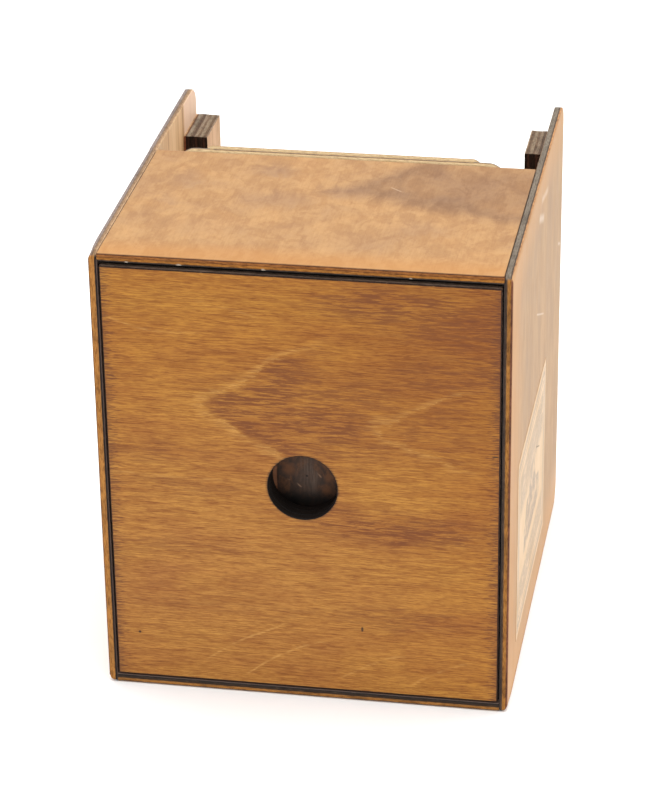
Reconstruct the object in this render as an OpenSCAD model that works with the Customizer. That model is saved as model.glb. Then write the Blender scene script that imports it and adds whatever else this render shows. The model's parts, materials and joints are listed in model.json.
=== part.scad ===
// Lensless plywood box camera for 4 x 5 inch sheet film.
// The box stands on its floor, with the bored front at -Y and the film at +Y.
// The origin is the middle of the footprint, on the surface that it stands on.

/* [Box] */
// Width over the two side panels
box_w = 152.4; // [146:0.2:170]
// Height of the side panels
box_h = 177.8; // [172:0.2:200]
// Depth of the side panels, front to back
box_d = 171.45; // [160:0.05:200]
// Thickness of one plywood sheet
ply = 3.175; // [2.8:0.005:3.6]
// Depth of the closed chamber, from the front face to the back of the film gate
chamber_d = 99.4; // [90:0.2:105]
// Radius of the side panels' upper front corners
front_corner_r = 3; // [1:0.5:6]
// Radius of the side panels' lower front corners
front_foot_r = 1; // [0.5:0.5:6]
// Radius of the side panels' rear corners
rear_corner_r = 8; // [4:0.5:15]

/* [Front] */
// Diameter of the hole in the front
hole_d = 25.4; // [20:0.1:28]
// Burnt gap beside and below the front panel
front_gap = 0.7; // [0.2:0.1:1.5]
// Burnt gap above the front panel
front_gap_top = 1.6; // [0.2:0.1:3]
// Side of the square block that carries the pinhole plate
pinhole_block_w = 76.2; // [60:0.1:90]
// Width of the pinhole plate
plate_w = 22.2; // [14:0.1:25]
// Height of the pinhole plate
plate_h = 31.8; // [26:0.1:45]
// Thickness of the pinhole plate
plate_t = 0.4; // [0.2:0.1:0.8]
// Diameter of the pinhole
pinhole_d = 0.4; // [0.3:0.05:0.6]
// Diameter of the opening behind the pinhole plate
retainer_hole_d = 12.7; // [8:0.1:20]

/* [Film holder] */
// Width of the film holder over its front sheet
holder_w = 127; // [120:0.5:130]
// Width of the holder's back sheet
holder_back_w = 107; // [104:0.5:110]
// Distance of the holder, its slot and the film to the right of the middle
holder_x = -2; // [-4:0.1:4]
// Thickness of the holder's front sheet
holder_front_t = 2.4; // [2:0.1:3.2]
// Radius of the front sheet's upper corners
holder_corner_r = 7; // [1:0.5:9]
// Radius of the back sheet's upper corners
holder_back_corner_r = 3.2; // [1:0.1:6]
// Width of the sheet film
film_w = 101.6; // [96:0.1:104]
// Height of the sheet film
film_h = 127; // [120:0.1:130]
// Border of the film that the window hides on each side
film_border = 3.175; // [2:0.005:5]
// Thickness of the slot between the holder's two sheets
slot_t = 0.9; // [0.9:0.1:2]
// Thickness of the dark slide, which ends flush with the holder's top
slide_t = 0.5; // [0.3:0.1:0.5]

/* [Rear] */
// Height of the two rear rails
rail_h = 152.4; // [120:0.2:160]
// Depth of the two rear rails
rail_d = 25.4; // [15:0.2:35]
// Gap between the holder's back sheet and the retaining strip beside it
strip_gap = 0.6; // [0.4:0.1:1.5]

/* [Label] */
// Length of the paper label on the right side panel
label_l = 94; // [60:1:120]
// Height of the paper label
label_h = 75.5; // [50:0.5:100]
// Distance of the label from the front of the side panel
label_setback = 24; // [10:1:30]
// Height of the label's lower edge
label_z = 15.5; // [8:0.5:60]

/* [Tripod socket] */
// Thread's minor diameter in the tripod nut
tripod_bore_d = 5.2; // [5:0.05:6]
// Distance of the tripod socket from the front face
tripod_setback = 60.3; // [45:0.1:70]

/* [Hidden] */
$fn = 72;

// Colours
stained_side = "#c9a07a";
stained_top = "#c08d5c";
stained_front = "#a5702f";
raw_ply = "#d9bd8c";
burnt_ply = "#4a352a";
black = "#1c1a19";

// Planes of the box
front_y = -box_d / 2;
back_y = box_d / 2;
inner_x = box_w / 2 - ply;
floor_z = ply;
ceiling_z = box_h - ply;
mid_z = box_h / 2;

// Layers of the front, from the outside to the inside
doubler_y = front_y + ply;
block_y = doubler_y + ply;
retainer_y = block_y + ply;
plate_fit = 0.2;
retainer_w = 50.8;

// Film gate, light seal and film holder, from front to back
gate_y = front_y + chamber_d - ply;
seal_y = gate_y + ply;
seal_t = 0.6;
seal_border = 9.5;
holder_play = 0.1;
holder_y = seal_y + seal_t + holder_play;
slot_y = holder_y + holder_front_t;
holder_back_y = slot_y + slot_t;
holder_z = floor_z + holder_play;
slide_play = 0.1;
slide_y = slot_y + slide_play;
film_t = 0.2;
film_z = mid_z - film_h / 2;
film_play = 0.2;
window_w = film_w - 2 * film_border;
window_h = film_h - 2 * film_border;

// Guides beside the holder and the strips that keep it in
guide_play = 0.3;
guide_x = holder_w / 2 + guide_play;
strip_x = holder_back_w / 2 + strip_gap;
strip_y = holder_back_y + guide_play;
guide_top_z = box_h - 4 * ply;

// Rear rails, each laminated from three sheets
rail_y = back_y - rail_d;
rail_z = mid_z - rail_h / 2;

// Tripod socket
tripod_y = front_y + tripod_setback;
tripod_block_w = 38.1;
tripod_block_h = 2 * ply;
nut_barrel_d = 7.9;
nut_hole_d = 8;
nut_flange_d = 19;
nut_flange_h = 1.6;
nut_inset = 0.5;
nut_flange_z = floor_z + tripod_block_h;

label_t = 0.15;
floor_setback = rear_corner_r;
through = 1;

// A straight piece between two corners
module slab(low, high) {
    translate(low) cube(high - low);
}

// The same piece on the left for side = -1 or on the right for side = 1
module slab_at_side(side, x_in, x_out, y0, y1, z0, z1) {
    slab([min(side * x_in, side * x_out), y0, z0], [max(side * x_in, side * x_out), y1, z1]);
}

// A bore along Y through the middle of the front
module front_bore(diameter, y0, length) {
    translate([0, y0 - through, mid_z])
        rotate([-90, 0, 0])
            cylinder(d = diameter, h = length + 2 * through);
}

// The exposure window, cut along Y
module window_cut(y0, thickness) {
    slab(
        [holder_x - window_w / 2, y0 - through, mid_z - window_h / 2],
        [holder_x + window_w / 2, y0 + thickness + through, mid_z + window_h / 2]
    );
}

// Cuts one corner of a panel to a radius. The two signs point into the panel.
module corner_waste(u, v, radius, sign_u, sign_v) {
    difference() {
        translate([u, v])
            square(2 * radius, center = true);
        translate([u + sign_u * radius, v + sign_v * radius])
            circle(r = radius);
    }
}

module side_outline() {
    difference() {
        translate([front_y, 0])
            square([box_d, box_h]);
        corner_waste(front_y, 0, front_foot_r, 1, 1);
        corner_waste(front_y, box_h, front_corner_r, 1, -1);
        corner_waste(back_y, 0, rear_corner_r, -1, 1);
        corner_waste(back_y, box_h, rear_corner_r, -1, -1);
    }
}

module side_panel(x0) {
    translate([x0, 0, 0])
        rotate([90, 0, 90])
            linear_extrude(ply)
                side_outline();
}

module left_side() {
    color(stained_side) side_panel(-box_w / 2);
}

module right_side() {
    color(stained_side) side_panel(inner_x);
}

module top_panel() {
    color(stained_top)
        slab([-inner_x, front_y, ceiling_z], [inner_x, front_y + chamber_d, box_h]);
}

module bottom_panel() {
    color(stained_top)
        difference() {
            slab([-inner_x, front_y, 0], [inner_x, back_y - floor_setback, floor_z]);
            translate([0, tripod_y, -through])
                cylinder(d = nut_hole_d, h = ply + 2 * through);
        }
}

module front_panel() {
    panel_x = inner_x - front_gap;
    color(stained_front)
        difference() {
            slab(
                [-panel_x, front_y, floor_z + front_gap],
                [panel_x, front_y + ply, ceiling_z - front_gap_top]
            );
            front_bore(hole_d, front_y, ply);
        }
}

module front_doubler() {
    color(burnt_ply)
        difference() {
            slab([-inner_x, doubler_y, floor_z], [inner_x, doubler_y + ply, ceiling_z]);
            front_bore(hole_d, doubler_y, ply);
        }
}

module pinhole_block() {
    half = pinhole_block_w / 2;
    color(burnt_ply)
        difference() {
            slab([-half, block_y, mid_z - half], [half, block_y + ply, mid_z + half]);
            front_bore(hole_d, block_y, ply);
        }
}

module pinhole_plate() {
    color(black)
        difference() {
            slab(
                [-plate_w / 2, retainer_y, mid_z - plate_h / 2],
                [plate_w / 2, retainer_y + plate_t, mid_z + plate_h / 2]
            );
            front_bore(pinhole_d, retainer_y, plate_t);
        }
}

// Backs the pinhole plate, which lies in a shallow recess in its front face
module pinhole_retainer() {
    half = retainer_w / 2;
    recess_x = plate_w / 2 + plate_fit;
    recess_z = plate_h / 2 + plate_fit;
    color(raw_ply)
        difference() {
            slab([-half, retainer_y, mid_z - half], [half, retainer_y + ply, mid_z + half]);
            slab(
                [-recess_x, retainer_y - through, mid_z - recess_z],
                [recess_x, retainer_y + plate_t, mid_z + recess_z]
            );
            front_bore(retainer_hole_d, retainer_y, ply);
        }
}

module film_gate() {
    color(burnt_ply)
        difference() {
            slab([-inner_x, gate_y, floor_z], [inner_x, gate_y + ply, ceiling_z]);
            window_cut(gate_y, ply);
        }
}

// Felt frame on the back of the film gate
module light_seal() {
    half_w = window_w / 2 + seal_border;
    half_h = window_h / 2 + seal_border;
    color(black)
        difference() {
            slab(
                [holder_x - half_w, seal_y, mid_z - half_h],
                [holder_x + half_w, seal_y + seal_t, mid_z + half_h]
            );
            window_cut(seal_y, seal_t);
        }
}

module guide(side) {
    x_in = guide_x + side * holder_x;
    color(raw_ply)
        slab_at_side(side, x_in, inner_x, seal_y, strip_y, floor_z, guide_top_z);
}

module left_guide() {
    guide(-1);
}

module right_guide() {
    guide(1);
}

module retaining_strip(side) {
    x_in = strip_x + side * holder_x;
    color(raw_ply)
        slab_at_side(side, x_in, inner_x, strip_y, strip_y + ply, floor_z, guide_top_z);
}

module left_retaining_strip() {
    retaining_strip(-1);
}

module right_retaining_strip() {
    retaining_strip(1);
}

// One sheet of a rear rail. Layer 0 lies against the side panel.
module rail_sheet(side, layer) {
    outer = inner_x - layer * ply;
    color(burnt_ply)
        slab_at_side(side, outer - ply, outer, rail_y, back_y, rail_z, rail_z + rail_h);
}

module left_rail_outer() {
    rail_sheet(-1, 0);
}

module left_rail_middle() {
    rail_sheet(-1, 1);
}

module left_rail_inner() {
    rail_sheet(-1, 2);
}

module right_rail_outer() {
    rail_sheet(1, 0);
}

module right_rail_middle() {
    rail_sheet(1, 1);
}

module right_rail_inner() {
    rail_sheet(1, 2);
}

module tripod_block() {
    half = tripod_block_w / 2;
    color(raw_ply)
        difference() {
            slab([-half, tripod_y - half, floor_z], [half, tripod_y + half, nut_flange_z]);
            translate([0, tripod_y, floor_z - through])
                cylinder(d = nut_hole_d, h = tripod_block_h + 2 * through);
        }
}

// Barrel nut with a round flange that bears on the block inside the box
module tripod_nut() {
    nut_top_z = nut_flange_z + nut_flange_h;
    color("silver")
        translate([0, tripod_y, 0])
            difference() {
                union() {
                    translate([0, 0, nut_inset])
                        cylinder(d = nut_barrel_d, h = nut_top_z - nut_inset);
                    translate([0, 0, nut_flange_z])
                        cylinder(d = nut_flange_d, h = nut_flange_h);
                }
                cylinder(d = tripod_bore_d, h = nut_top_z + through);
            }
}

module side_label() {
    label_y = front_y + label_setback;
    color("#e6d3b4")
        slab([box_w / 2, label_y, label_z], [box_w / 2 + label_t, label_y + label_l, label_z + label_h]);
}

// Outline of a layer of the holder: square feet and rounded upper corners
module holder_outline(width, corner_r) {
    half = width / 2;
    difference() {
        translate([-half, holder_z])
            square([width, box_h - holder_z]);
        corner_waste(-half, box_h, corner_r, 1, -1);
        corner_waste(half, box_h, corner_r, -1, -1);
    }
}

module holder_layer(width, corner_r, y0, thickness) {
    translate([holder_x, y0 + thickness, 0])
        rotate([90, 0, 0])
            linear_extrude(thickness)
                holder_outline(width, corner_r);
}

module holder_front() {
    color(raw_ply)
        difference() {
            holder_layer(holder_w, holder_corner_r, holder_y, holder_front_t);
            window_cut(holder_y, holder_front_t);
        }
}

module holder_back() {
    color(raw_ply)
        holder_layer(holder_back_w, holder_back_corner_r, holder_back_y, ply);
}

module holder_side_spacer(side) {
    x_in = film_w / 2 + side * holder_x;
    color(raw_ply)
        intersection() {
            holder_layer(holder_w, holder_corner_r, slot_y, slot_t);
            slab_at_side(
                side, x_in, inner_x,
                slot_y - through, holder_back_y + through, 0, box_h + through
            );
        }
}

module holder_left_spacer() {
    holder_side_spacer(-1);
}

module holder_right_spacer() {
    holder_side_spacer(1);
}

module holder_bottom_spacer() {
    half = film_w / 2;
    color(raw_ply)
        slab([holder_x - half, slot_y, holder_z], [holder_x + half, holder_back_y, film_z]);
}

// The film lies against the holder's back sheet
module film_sheet() {
    half = film_w / 2 - film_play;
    color("#5c6470")
        slab(
            [holder_x - half, holder_back_y - film_t, film_z],
            [holder_x + half, holder_back_y, film_z + film_h]
        );
}

// The dark slide stands on the bottom spacer, in front of the film
module dark_slide() {
    half = film_w / 2 - film_play;
    color(black)
        slab(
            [holder_x - half, slide_y, film_z + film_play],
            [holder_x + half, slide_y + slide_t, box_h]
        );
}

left_side();
right_side();
top_panel();
bottom_panel();
front_panel();
front_doubler();
pinhole_block();
pinhole_plate();
pinhole_retainer();
film_gate();
light_seal();
left_guide();
right_guide();
left_retaining_strip();
right_retaining_strip();
left_rail_outer();
left_rail_middle();
left_rail_inner();
right_rail_outer();
right_rail_middle();
right_rail_inner();
tripod_block();
tripod_nut();
side_label();
holder_front();
holder_back();
holder_left_spacer();
holder_right_spacer();
holder_bottom_spacer();
film_sheet();
dark_slide();
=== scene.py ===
"""Looks of the plywood sheet-film camera: panels with worn edges, veneer and a soft studio."""

import json
import math

import bmesh
import bpy
from mathutils import Matrix, Vector, noise
from mathutils.geometry import tessellate_polygon


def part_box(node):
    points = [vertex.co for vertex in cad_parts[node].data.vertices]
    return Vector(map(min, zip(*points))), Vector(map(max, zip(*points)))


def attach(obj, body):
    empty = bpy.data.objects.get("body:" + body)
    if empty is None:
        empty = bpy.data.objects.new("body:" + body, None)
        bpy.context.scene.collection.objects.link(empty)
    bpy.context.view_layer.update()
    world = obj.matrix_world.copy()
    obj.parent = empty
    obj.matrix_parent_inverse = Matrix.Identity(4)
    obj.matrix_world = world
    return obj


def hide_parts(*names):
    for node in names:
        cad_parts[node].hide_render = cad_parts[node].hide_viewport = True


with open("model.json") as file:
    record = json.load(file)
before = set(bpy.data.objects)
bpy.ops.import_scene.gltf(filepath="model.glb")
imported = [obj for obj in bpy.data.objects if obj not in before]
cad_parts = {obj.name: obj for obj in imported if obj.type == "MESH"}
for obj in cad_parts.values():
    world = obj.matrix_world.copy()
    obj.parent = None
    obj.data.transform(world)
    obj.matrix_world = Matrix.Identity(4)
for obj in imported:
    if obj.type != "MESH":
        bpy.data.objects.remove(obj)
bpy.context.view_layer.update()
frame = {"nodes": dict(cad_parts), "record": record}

MM = 0.001
RECORD = frame["record"]
BODIES = {node: body for body, nodes in RECORD["behaviour"]["bodies"].items() for node in nodes}
MOUNTS = {mount["name"]: mount for mount in RECORD["mounts"]}
HOLE_R = MOUNTS["front_hole"]["dims"]["r_mm"]


def box_mm(node):
    """A CAD node's lowest and highest corners in millimetres."""
    low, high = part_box(node)
    return low / MM, high / MM


BOX_LOW, _ = box_mm("left_side")
_, BOX_HIGH = box_mm("right_side")
FRONT_Y = BOX_LOW.y
BACK_Y = BOX_HIGH.y
HEIGHT = BOX_HIGH.z
MID_Z = HEIGHT / 2
GATE_Y = box_mm("film_gate")[0].y
PLY = box_mm("left_side")[1].x - BOX_LOW.x


# -------- camera

CAMERA_AT = Vector((185.2, FRONT_Y - 976.9, 620.5)) * MM
CAMERA_AZIMUTH = math.radians(10.21)
CAMERA_ELEVATION = math.radians(26.51)
CAMERA_ROLL = math.radians(-0.90)
CAMERA_LENS_MM = 139.17


def make_camera():
    data = bpy.data.cameras.new("camera")
    data.sensor_width = 36
    data.lens = CAMERA_LENS_MM
    data.clip_start = 0.05
    data.clip_end = 50
    camera = bpy.data.objects.new("camera", data)
    bpy.context.collection.objects.link(camera)
    az, el, roll = CAMERA_AZIMUTH, CAMERA_ELEVATION, CAMERA_ROLL
    forward = Vector((-math.sin(az) * math.cos(el), math.cos(az) * math.cos(el), -math.sin(el)))
    level = Vector((math.cos(az), math.sin(az), 0))
    upright = level.cross(forward)
    right = level * math.cos(roll) + upright * math.sin(roll)
    up = upright * math.cos(roll) - level * math.sin(roll)
    turn = Matrix((right, up, -forward)).transposed().to_4x4()
    camera.matrix_world = Matrix.Translation(CAMERA_AT) @ turn
    bpy.context.scene.camera = camera


make_camera()


# -------- shader helpers

class Shader:
    """One material's node tree, with short calls for its nodes and a colour built up in layers."""

    def __init__(self, name):
        self.material = bpy.data.materials.new(name)
        self.material.use_nodes = True
        self.tree = self.material.node_tree
        self.tree.nodes.clear()
        self.output = self.new("OutputMaterial")
        self.bsdf = self.new("BsdfPrincipled")
        self.tree.links.new(self.bsdf.outputs[0], self.output.inputs["Surface"])
        place = self.new("TexCoord").outputs["Object"]
        scaled = self.new("VectorMath")
        scaled.operation = "SCALE"
        scaled.inputs["Scale"].default_value = 1 / MM
        self.tree.links.new(place, scaled.inputs[0])
        self.mm = scaled.outputs[0]
        split = self.new("SeparateXYZ")
        self.tree.links.new(self.mm, split.inputs[0])
        self.x, self.y, self.z = split.outputs
        self.colour = None

    def new(self, kind):
        return self.tree.nodes.new("ShaderNode" + kind)

    def put(self, value, socket):
        """Sets a socket to a number or colour, or links it to another node's output."""
        if isinstance(value, bpy.types.NodeSocket):
            self.tree.links.new(value, socket)
        elif socket.type == "RGBA":
            socket.default_value = (*value, 1)
        else:
            socket.default_value = value

    def math(self, operation, *values, clamp=False):
        node = self.new("Math")
        node.operation = operation
        node.use_clamp = clamp
        for value, socket in zip(values, node.inputs):
            self.put(value, socket)
        return node.outputs[0]

    def add(self, a, b):
        return self.math("ADD", a, b)

    def sub(self, a, b):
        return self.math("SUBTRACT", a, b)

    def fold(self, operation, result, *values):
        for value in values:
            result = self.math(operation, result, value)
        return result

    def mul(self, *values):
        return self.fold("MULTIPLY", *values)

    def least(self, *values):
        return self.fold("MINIMUM", *values)

    def most(self, *values):
        return self.fold("MAXIMUM", *values)

    def size(self, value):
        return self.math("ABSOLUTE", value)

    def swing(self, value, reach):
        """A noise as a push of up to half the reach either way."""
        return self.mul(self.sub(value, 0.5), reach)

    def distance(self, u, v):
        return self.math("SQRT", self.add(self.mul(u, u), self.mul(v, v)))

    def fade(self, value, start, end, low=0.0, high=1.0):
        """Goes smoothly from low at start to high at end. start may be above end."""
        if start > end:
            start, end, low, high = end, start, high, low
        node = self.new("MapRange")
        node.interpolation_type = "SMOOTHSTEP"
        for number, socket in zip((start, end, low, high), list(node.inputs)[1:5]):
            socket.default_value = number
        self.put(value, node.inputs[0])
        return node.outputs[0]

    def vector(self, x, y, z):
        node = self.new("CombineXYZ")
        for value, socket in zip((x, y, z), node.inputs):
            self.put(value, socket)
        return node.outputs[0]

    def stretch(self, vector, scale, offset=(0, 0, 0)):
        node = self.new("VectorMath")
        node.operation = "MULTIPLY_ADD"
        self.put(vector, node.inputs[0])
        node.inputs[1].default_value = scale
        node.inputs[2].default_value = offset
        return node.outputs[0]

    def noise(self, place, scale=1.0, detail=3.0, rough=0.55, distort=0.0, shift=(0, 0, 0)):
        """Fractal noise from 0 to 1, with about scale features per unit of the place."""
        scales = scale if isinstance(scale, (tuple, list)) else (scale,) * 3
        node = self.new("TexNoise")
        node.inputs["Scale"].default_value = 1
        node.inputs["Detail"].default_value = detail
        node.inputs["Roughness"].default_value = rough
        node.inputs["Distortion"].default_value = distort
        self.put(self.stretch(place, scales, shift), node.inputs["Vector"])
        return node.outputs["Fac"]

    def ramp(self, value, stops, mode="LINEAR"):
        node = self.new("ValToRGB")
        node.color_ramp.interpolation = mode
        elements = node.color_ramp.elements
        while len(elements) < len(stops):
            elements.new(0.5)
        for element, (place, colour) in zip(elements, stops):
            element.position = place
            element.color = (*colour, 1)
        self.put(value, node.inputs[0])
        return node.outputs[0]

    def mix(self, amount, a, b, mode="MIX"):
        node = self.new("Mix")
        node.data_type = "RGBA"
        node.blend_type = mode
        self.put(amount, node.inputs["Factor"])
        self.put(a, node.inputs[6])
        self.put(b, node.inputs[7])
        return node.outputs[2]

    def lay(self, amount, colour):
        """Lays a colour over the surface where the amount is 1."""
        self.colour = self.mix(amount, self.colour, colour)

    def tint(self, amount, multiplier):
        """Multiplies the surface's colour by the multiplier where the amount is 1."""
        self.lay(amount, self.mix(1.0, self.colour, multiplier, "MULTIPLY"))

    def shade(self, value, dark_at, light_at, multiplier):
        """Multiplies the surface's colour down to the multiplier where the value is at dark_at."""
        self.tint(self.fade(value, light_at, dark_at), multiplier)

    def char(self, distance, reach, strength, ragged=None):
        """Scorches the surface within reach millimetres of an edge. ragged frays the scorch."""
        if ragged is not None:
            distance = self.add(distance, self.swing(ragged, reach * 1.6))
        self.lay(self.fade(distance, reach, 0.0, 0, strength), CHAR)

    def bump(self, height, depth_mm, strength):
        node = self.new("Bump")
        node.inputs["Distance"].default_value = depth_mm * MM
        node.inputs["Strength"].default_value = strength
        self.put(height, node.inputs["Height"])
        return node.outputs[0]

    def finish(self, rough, normal=None, specular=0.5, **sockets):
        """The material, with its colour, roughness, normal and plain socket values set."""
        self.put(self.colour, self.bsdf.inputs["Base Color"])
        self.put(rough, self.bsdf.inputs["Roughness"])
        if normal is not None:
            self.put(normal, self.bsdf.inputs["Normal"])
        self.bsdf.inputs["Specular IOR Level"].default_value = specular
        for name, value in sockets.items():
            self.bsdf.inputs[name.replace("_", " ")].default_value = value
        return self.material


def srgb(red, green, blue):
    """A colour of 0 to 255 steps as the linear numbers that the shader takes."""
    steps = [value / 255 for value in (red, green, blue)]
    return tuple(v / 12.92 if v <= 0.04045 else ((v + 0.055) / 1.055) ** 2.4 for v in steps)


def tones(*rows):
    """Ramp stops from rows of place, red, green and blue."""
    return [(place, srgb(*colour)) for place, *colour in rows]


def grained(s, grain, across, normal, seed):
    """Millimetres along the grain, across it and into the wood, moved by a seed of its own."""
    shift = (seed * 37.0, seed * 91.0, seed * 13.0)
    return s.stretch(s.vector(grain, across, normal), (1, 1, 1), shift)


def inset_from(s, u, v, low, high):
    """Millimetres in from the nearest edge of the rectangle from low to high."""
    mid = [(a + b) / 2 for a, b in zip(low, high)]
    half = [(b - a) / 2 for a, b in zip(low, high)]
    in_u = s.sub(half[0], s.size(s.sub(u, mid[0])))
    in_v = s.sub(half[1], s.size(s.sub(v, mid[1])))
    return s.least(in_u, in_v)


def blob(s, u, v, at, radii, feather=0.5, wander=None, wander_mm=0.0):
    """1 inside an ellipse, fading to 0 outside it. wander pushes its outline about."""
    if wander is not None:
        push = s.swing(wander, wander_mm)
        u = s.add(u, push)
        v = s.sub(v, push)
    du = s.math("DIVIDE", s.sub(u, at[0]), radii[0])
    dv = s.math("DIVIDE", s.sub(v, at[1]), radii[1])
    return s.fade(s.distance(du, dv), 1 + feather, 1 - feather)


def from_bore(s):
    """Millimetres from the axis of the hole in the front."""
    return s.distance(s.x, s.sub(s.z, MID_Z))


# -------- wood

# Streaks have this share of the fibres' features per millimetre, along the grain and across it
STREAK_LENGTH = 0.36
STREAK_FINE = 0.2


def fibres(s, place, fine, length):
    """Wood grain as two layers of noise: fibres, and streaks that are several fibres wide."""
    fibre = s.noise(place, (length, fine, fine), 4, 0.62, 0.2)
    wide = (length * STREAK_LENGTH, fine * STREAK_FINE, fine * STREAK_FINE)
    streak = s.noise(place, wide, 5, 0.64, 0.5, shift=(5, 2, 9))
    return fibre, streak


def pores(s, place, amount=0.68):
    """Short open pores along the grain, 1 where one is."""
    grit = s.noise(place, (0.3, 3.8, 3.8), 2, 0.5, shift=(1, 4, 2))
    return s.fade(grit, amount, amount + 0.1)


CHAR = srgb(40, 26, 20)
SOOT = srgb(24, 20, 18)
# Soot for the gaps round the front, set far paler than it looks: partly real soot, partly painted
# light that offsets the gaps' deep shade.
GAP_SOOT_AND_PAINTED_LIGHT = srgb(116, 96, 86)
FRONT_TONES = tones((0.32, 172, 110, 40), (0.5, 184, 124, 46), (0.68, 191, 133, 51))
TOP_TONES = tones((0.32, 162, 122, 79), (0.5, 171, 130, 82), (0.7, 178, 135, 84))
SIDE_TONES = tones((0.32, 165, 130, 91), (0.5, 176, 141, 101), (0.68, 186, 151, 113))

# Growth lines on the front that close to the left like a bow: nose x, nose z, half height of the
# blunt nose, lean of the arms, reach to the right, strength, darkness inside
FRONT_NOSES = [
    (-35, 120.5, 7, 2.1, 52, 1.0, 0.9),
    (29, 115, 4, 2.6, 44, 0.8, 0.4),
]
# Growth lines that drift along the grain: start x, start z, slope, droop per mm, length, strength
FRONT_DRIFTS = [
    (-71, 153.5, -0.36, -0.003, 20, 0.6),
    (-57, 148.0, 0.03, 0.0, 24, 0.4),
    (-38, 161.5, -0.22, 0.0, 26, 0.5),
    (-72, 90.5, -0.02, 0.0, 52, 0.55),
    (-38, 13, 0.73, 0.0044, 34, 0.9),
    (-23, 7.5, 0.88, 0.0105, 36, 0.9),
    (14, 9.5, 0.72, 0.0110, 28, 0.8),
    (40, 8.0, 0.75, 0.0100, 26, 0.6),
]
# Dark bands of fibres: x, z, half width, half height, strength
FRONT_BANDS = [
    (2, 126, 34, 9, 0.55),
    (2, 115, 24, 9, 0.95),
    (14, 104, 26, 5, 0.5),
    (34, 74, 32, 6, 0.95),
    (10, 79, 22, 3, 0.6),
    (-46, 60, 30, 3, 0.3),
    (34, 164, 26, 7, 0.85),
    (60, 158, 26, 10, 0.7),
    (56, 137, 24, 8, 0.6),
    (-58, 100, 20, 4, 0.4),
    (-40, 86, 24, 4, 0.35),
    (38, 36, 26, 4, 0.45),
    (-30, 36, 40, 3, 0.25),
]
# Dark spots: x, z, half width, half height
FRONT_SPOTS = [
    (21.6, 31.0, 0.45, 1.0),
    (-63.4, 22.6, 0.55, 0.5),
    (70.6, 106.8, 1.3, 0.3),
]


def growth_lines(s, fray):
    """How pale the front is from its growth lines, and how dark from the wood inside them."""
    pale = 0.0
    dark = 0.0
    for nose_x, nose_z, blunt, lean, reach, strength, darkness in FRONT_NOSES:
        rise = s.sub(s.z, nose_z)
        bow = s.sub(s.math("SQRT", s.add(s.mul(rise, rise), blunt * blunt)), blunt)
        from_nose = s.sub(s.x, nose_x)
        field = s.add(s.sub(from_nose, s.mul(bow, lean)), fray)
        near = s.fade(from_nose, reach, reach * 0.5)
        glow = s.fade(s.size(s.add(field, 2)), 4.0, 0.5, 0, 0.5)
        crest = s.most(glow, s.fade(s.size(field), 1.2, 0.2, 0, 0.9))
        pale = s.most(pale, s.mul(crest, near, strength))
        dark = s.most(dark, s.mul(s.fade(field, 0, 5), near, darkness))
    for start_x, start_z, slope, droop, length, strength in FRONT_DRIFTS:
        along = s.sub(s.x, start_x)
        height = s.sub(s.mul(along, slope), s.mul(along, along, droop))
        field = s.add(s.sub(s.sub(s.z, start_z), height), s.mul(fray, 0.12))
        near = s.mul(s.fade(along, -2, 3), s.fade(along, length, length * 0.7))
        pale = s.most(pale, s.mul(s.fade(s.size(field), 0.8, 0.1), near, strength))
    return pale, dark


def front_stain(s, place, fibre, streak, dash):
    """The front's amber stain: darker at the upper right, faded below, and taken up by the fibres."""
    s.colour = s.ramp(s.noise(place, (0.02, 0.05, 0.05), 3, 0.5, 0.5), FRONT_TONES)
    sunless = blob(s, s.x, s.z, (66, 158), (58, 52), 0.8)
    s.tint(sunless, (0.86, 0.8, 0.74))
    faded = blob(s, s.x, s.z, (-30, 48), (76, 62), 0.8)
    s.lay(s.mul(faded, 0.11), srgb(216, 176, 124))
    s.shade(streak, 0.36, 0.56, (0.84, 0.77, 0.7))
    s.shade(fibre, 0.38, 0.56, (0.7, 0.6, 0.52))
    s.shade(dash, 0.4, 0.52, (0.76, 0.68, 0.6))


def front_figure(s, place, fibre):
    """The front's pale growth lines and its bands of dark fibres."""
    sway = s.noise(place, (0.05, 0.07, 0.07), 3, 0.6)
    fray = s.add(s.swing(sway, 24.0), s.swing(fibre, 18.0))
    pale, dark = growth_lines(s, fray)
    for at_x, at_z, half_w, half_h, strength in FRONT_BANDS:
        band = blob(s, s.x, s.z, (at_x, at_z), (half_w, half_h), 0.6, sway, 14)
        dark = s.most(dark, s.mul(band, strength))
    marks = s.noise(place, (0.1, 1.3, 1.3), 5, 0.7, 0.4, shift=(3, 7, 1))
    marked = s.mul(s.fade(marks, 0.44, 0.56), s.add(s.mul(dark, 0.85), 0.1))
    s.lay(marked, srgb(104, 54, 26))
    s.lay(s.mul(dark, 0.25), srgb(142, 82, 34))
    broken = s.fade(s.noise(place, (0.12, 1.2, 1.2), 3, 0.6, shift=(8, 8, 8)), 0.36, 0.6)
    s.lay(s.mul(pale, broken, 0.58), srgb(212, 160, 86))


def front_scorch(s, fibre, dash):
    """Burn marks along the front's edges and round its hole, and a few dark spots."""
    low, high = box_mm("front_panel")
    beside = s.sub(high.x, s.size(s.x))
    bleed = s.add(beside, s.swing(dash, 22.0))
    s.lay(s.fade(bleed, 4.0, -1.0, 0, 0.7), srgb(92, 50, 32))
    inset = inset_from(s, s.x, s.z, (low.x, low.z), (high.x, high.z))
    s.char(inset, 0.6, 0.85)
    s.char(s.sub(from_bore(s), HOLE_R), 1.3, 0.85, fibre)
    for at_x, at_z, half_w, half_h in FRONT_SPOTS:
        spot = blob(s, s.x, s.z, (at_x, at_z), (half_w, half_h), 0.35)
        s.lay(s.mul(spot, 0.85), srgb(40, 26, 22))


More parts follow.
